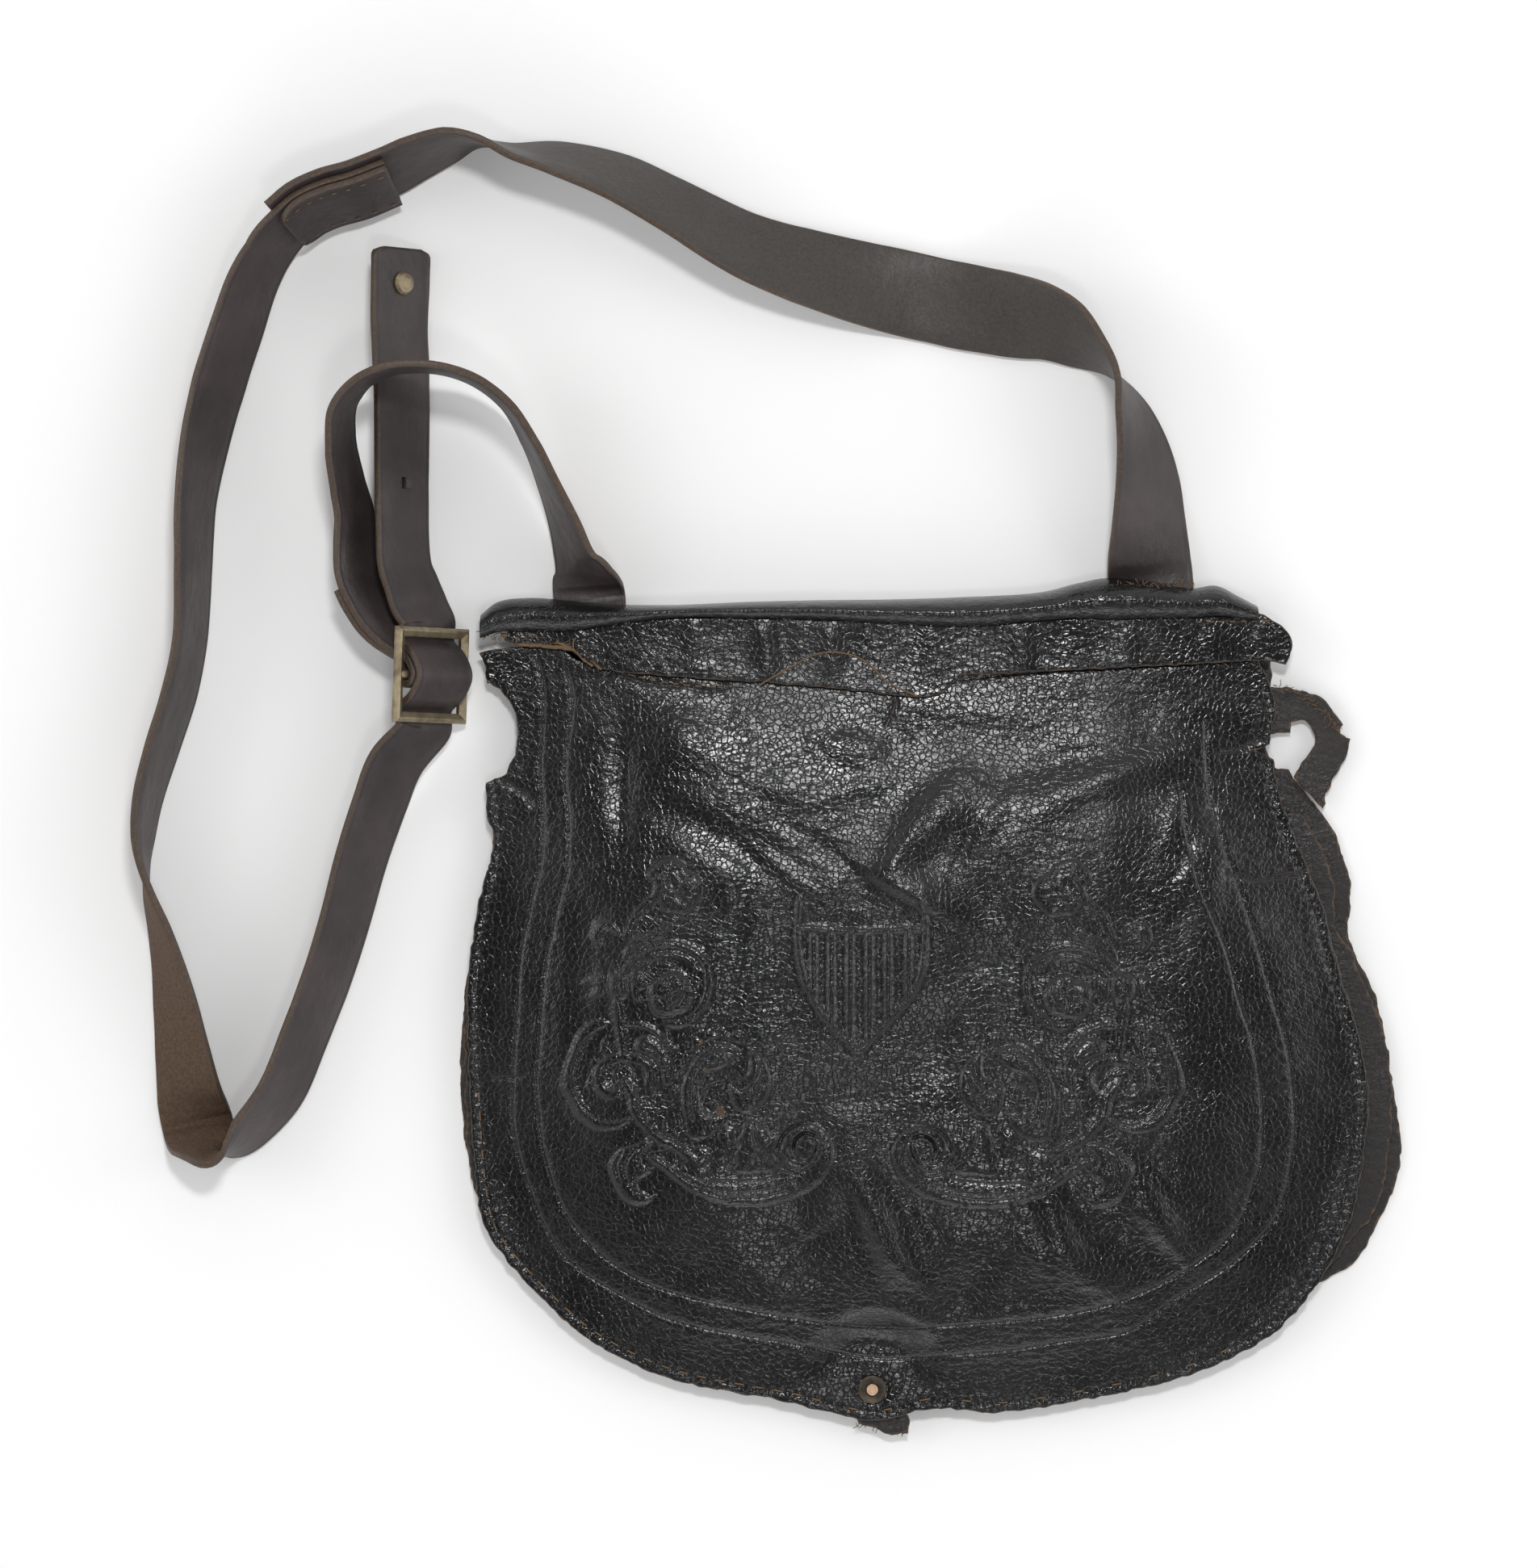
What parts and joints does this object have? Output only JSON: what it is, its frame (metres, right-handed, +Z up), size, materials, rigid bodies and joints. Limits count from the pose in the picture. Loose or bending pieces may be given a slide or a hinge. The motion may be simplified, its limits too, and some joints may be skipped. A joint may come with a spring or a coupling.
{
  "type": "leather haversack with shoulder strap",
  "caption": "Worn black leather haversack lying flat, flap closed by a stud, with a laid-out shoulder strap joined by a square brass buckle.",
  "frame": {"origin": "under the middle of the whole laid-out object, on the surface that it lies on", "axes": "+Z up out of the surface, +Y towards the bag's rolled top edge, +X to the right in the picture's view"},
  "size_m": [0.472, 0.4852, 0.0497],
  "materials": {
    "black_leather": "glossy, creased, fine grain",
    "worn_leather": "dull, cracked, raw brown edges",
    "strap_leather": "satin, brown edges and flesh side",
    "brass": "tarnished",
    "stud_metal": "tarnished, worn bright on the post"
  },
  "bodies": {
    "root": {"back_panel": "worn_leather", "gusset_left": "worn_leather", "gusset_bottom": "worn_leather", "gusset_right": "worn_leather", "gusset_torn": "worn_leather", "closing_tab": "worn_leather", "front_panel": "black_leather", "flap": "black_leather", "top_band": "black_leather", "top_roll": "black_leather", "shoulder_strap": "strap_leather", "lower_strap": "strap_leather", "buckle_strap": "strap_leather", "splice_patch": "strap_leather", "flap_stud": "stud_metal", "strap_stud": "brass", "buckle_frame": "brass"}
  },
  "joints": []
}
